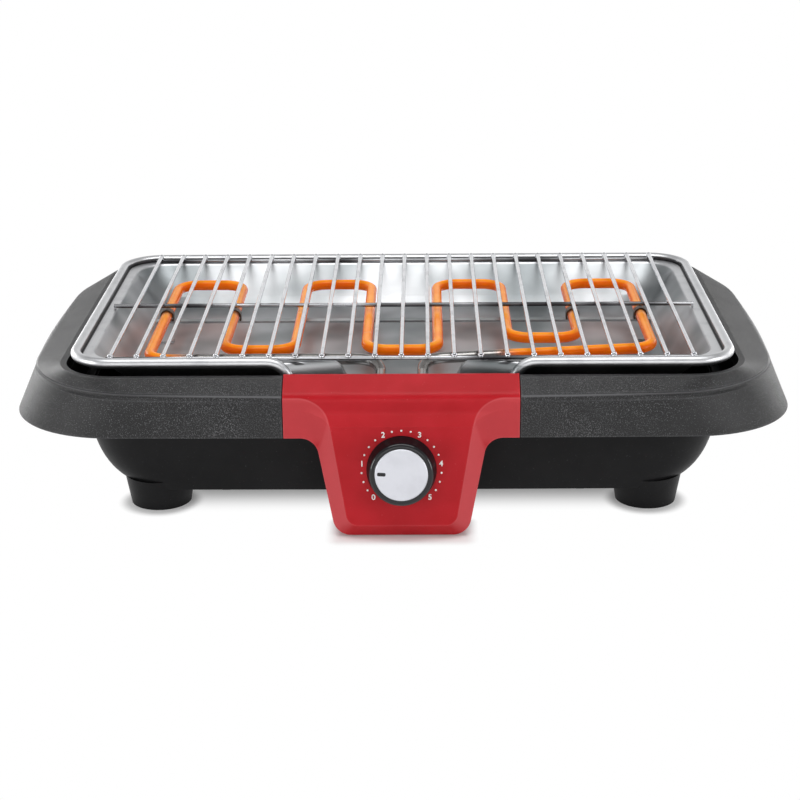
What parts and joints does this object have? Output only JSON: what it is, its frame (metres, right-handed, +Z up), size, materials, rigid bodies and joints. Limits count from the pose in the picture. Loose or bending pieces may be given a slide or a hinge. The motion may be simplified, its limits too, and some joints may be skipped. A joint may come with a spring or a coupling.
{
  "type": "electric grill",
  "caption": "Table-top electric grill: wire grate over a tubular heating element and steel drip tray in a winged black base, with a red control panel and heat dial.",
  "frame": {"origin": "on the table, under the middle of the whole grill", "axes": "+Z up, +X along the width, the control panel faces -Y"},
  "size_m": [0.5258, 0.3385, 0.1134],
  "materials": {
    "grained_black": "fine grained matt",
    "satin_black": "satin",
    "foot_rubber": "matt",
    "screw_steel": "zinc plated",
    "tray_steel": "bright rolled sheet",
    "hot_tube": "glowing sheath",
    "clip_steel": "heat darkened",
    "chrome_wire": "polished",
    "panel_red": "satin",
    "ceramic": "glazed",
    "dial_black": "gloss",
    "dial_silver": "satin"
  },
  "bodies": {
    "base": {"upper_frame": "grained_black", "lower_tub": "satin_black", "foot_front_left": "satin_black", "foot_front_right": "satin_black", "foot_rear_left": "satin_black", "foot_rear_right": "satin_black", "foot_pads": "foot_rubber", "base_screws": "screw_steel"},
    "tray": {"drip_tray": "tray_steel"},
    "control_unit": {"heating_element": "hot_tube", "element_terminals": "screw_steel", "element_bar": "tray_steel", "element_clips": "clip_steel", "control_panel": "panel_red", "rear_cover": "satin_black", "cover_screws": "screw_steel", "cable_gland": "foot_rubber", "thermostat": "satin_black", "terminal_block": "ceramic"},
    "dial": {"dial_shaft": "screw_steel", "dial_knob": "dial_black", "dial_cap": "dial_silver", "dial_pointer": "dial_black"},
    "grate": {"grate_rods": "chrome_wire", "grate_wires": "chrome_wire"}
  },
  "joints": [
    {"name": "tray_lift", "type": "slide", "parent": "base", "child": "tray", "axis": [0, 0, 1], "range_m": [0, 0.12]},
    {"name": "control_lift", "type": "slide", "parent": "tray", "child": "control_unit", "axis": [0, 0, 1], "range_m": [0, 0.12]},
    {"name": "grate_lift", "type": "slide", "parent": "control_unit", "child": "grate", "axis": [0, 0, 1], "range_m": [0, 0.12]},
    {"name": "dial_turn", "type": "hinge", "parent": "control_unit", "child": "dial", "pos_m": [0, -0.15285, 0.047], "axis": [0, 0.9915, -0.1298], "range_deg": [-48, 222]}
  ]
}
